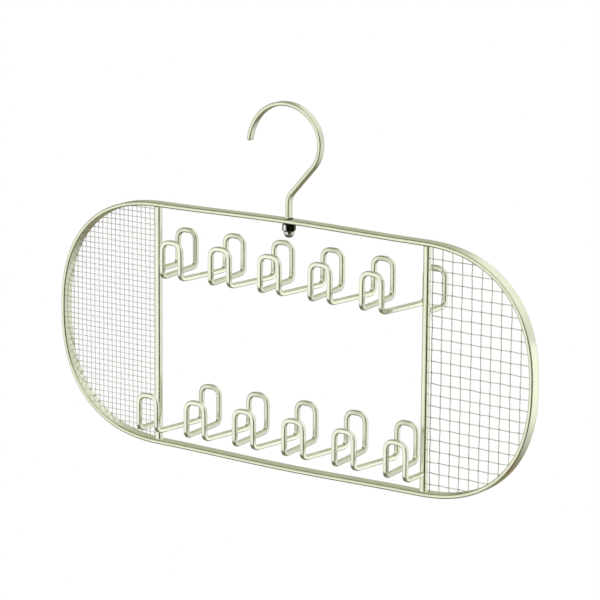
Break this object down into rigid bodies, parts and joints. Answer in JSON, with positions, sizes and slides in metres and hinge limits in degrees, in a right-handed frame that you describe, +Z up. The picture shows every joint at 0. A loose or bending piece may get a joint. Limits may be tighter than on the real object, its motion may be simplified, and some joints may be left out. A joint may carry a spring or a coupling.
{
  "type": "hanging jewelry organizer",
  "caption": "Flat-bar oval hoop on a swivelling closet hook, with fine and coarse mesh ends for earrings and zigzag rails with upright loops for necklaces.",
  "frame": {"origin": "the point inside the top of the hook where a closet rod touches it, in the middle of the hook's depth", "axes": "+X along the hoop to the viewer's right, with the coarse mesh at that end; +Y to the back, away from the viewer; +Z up"},
  "size_m": [0.38, 0.0464, 0.2466],
  "materials": {
    "frame": "satin pale nickel plating",
    "hook": "satin pale nickel plating",
    "rail": "satin pale nickel plating",
    "mesh": "satin nickel-plated wire",
    "nut": "bright chrome plating",
    "stud": "plain turned steel"
  },
  "bodies": {
    "hook": {"hanging_hook": "hook", "hook_stud": "stud", "cap_nut": "nut"},
    "frame": {"outer_hoop": "frame", "left_post": "frame", "right_post": "frame", "upper_jewelry_rail": "rail", "lower_jewelry_rail": "rail", "fine_mesh_panel": "mesh", "coarse_upright_01": "mesh", "coarse_upright_02": "mesh", "coarse_upright_03": "mesh", "coarse_upright_04": "mesh", "coarse_upright_05": "mesh", "coarse_upright_06": "mesh", "coarse_upright_07": "mesh", "coarse_upright_08": "mesh", "coarse_upright_09": "mesh", "coarse_upright_10": "mesh", "coarse_upright_11": "mesh", "coarse_crosswire_01": "mesh", "coarse_crosswire_02": "mesh", "coarse_crosswire_03": "mesh", "coarse_crosswire_04": "mesh", "coarse_crosswire_05": "mesh", "coarse_crosswire_06": "mesh", "coarse_crosswire_07": "mesh", "coarse_crosswire_08": "mesh", "coarse_crosswire_09": "mesh", "coarse_crosswire_10": "mesh", "coarse_crosswire_11": "mesh", "coarse_crosswire_12": "mesh", "coarse_crosswire_13": "mesh", "coarse_crosswire_14": "mesh", "coarse_crosswire_15": "mesh", "coarse_crosswire_16": "mesh", "coarse_crosswire_17": "mesh", "coarse_crosswire_18": "mesh", "coarse_crosswire_19": "mesh", "coarse_crosswire_20": "mesh", "coarse_crosswire_21": "mesh"}
  },
  "joints": [
    {"name": "hook_swivel", "type": "hinge", "parent": "hook", "child": "frame", "pos_m": [0.0032, 0, -0.0747], "axis": [0, 0, 1], "continuous": true}
  ]
}
